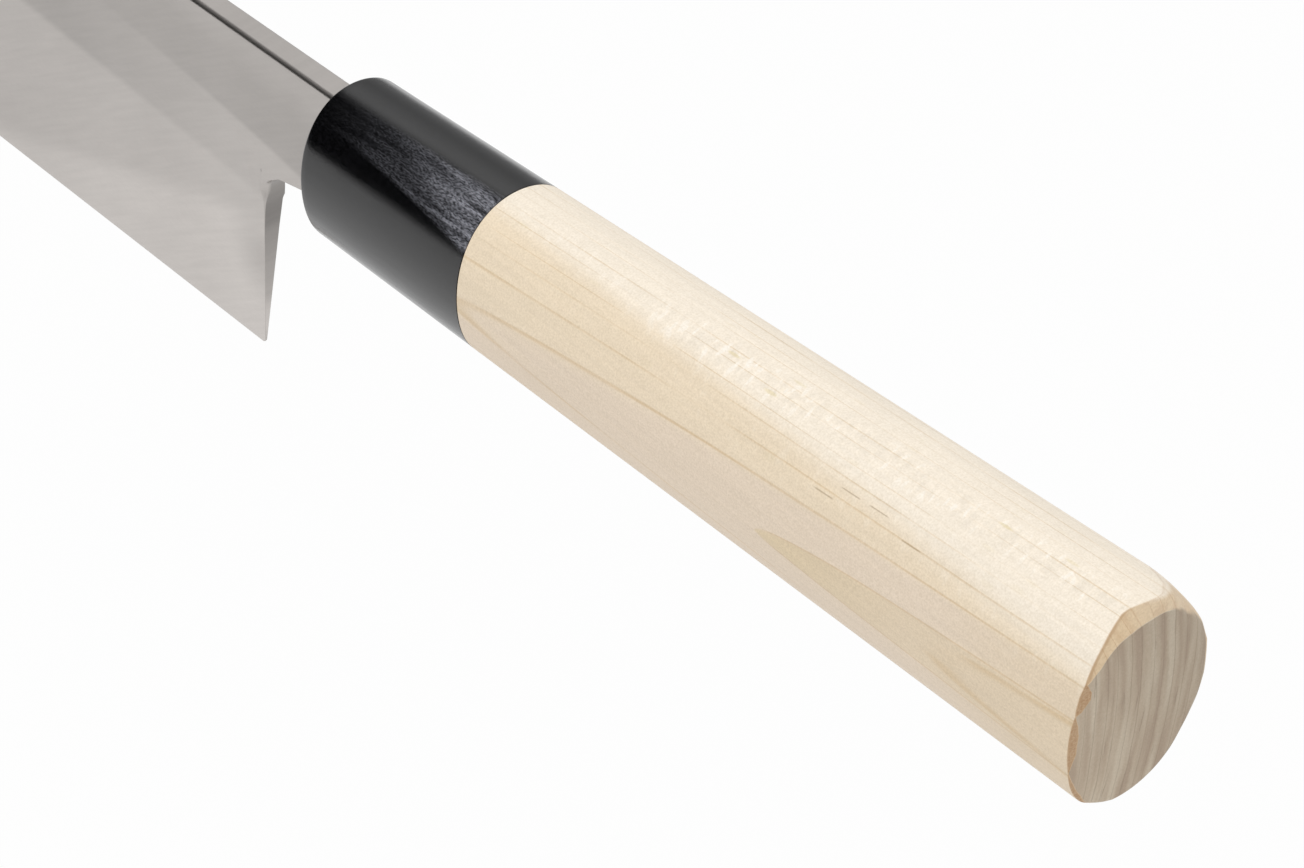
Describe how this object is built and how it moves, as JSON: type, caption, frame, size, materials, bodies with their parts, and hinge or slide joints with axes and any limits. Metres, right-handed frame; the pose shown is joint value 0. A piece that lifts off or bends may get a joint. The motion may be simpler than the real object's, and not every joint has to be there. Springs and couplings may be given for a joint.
{
  "type": "usuba knife",
  "caption": "Square-tipped Japanese vegetable knife: tall single-bevel steel blade, hollow-ground left face, and an oval bare-wood handle with a black ferrule.",
  "frame": {"origin": "on the flat left face of the blade, in the strip under the spine, 65 mm ahead of the ferrule, near the point of balance, where a magnetic rack takes hold", "axes": "+X from the handle to the tip, +Y to the left of whoever holds the knife and out of the flat left face, +Z from the edge to the spine"},
  "size_m": [0.3249, 0.0229, 0.0556],
  "materials": {
    "satin_steel": "satin ground",
    "black_ferrule": "black laminated wood, buffed",
    "magnolia_wood": "bare, fine sanded",
    "amber_resin": "cast"
  },
  "bodies": {
    "root": {"blade": "satin_steel", "ferrule": "black_ferrule", "handle_body": "magnolia_wood", "tang_bedding": "amber_resin"}
  },
  "joints": []
}
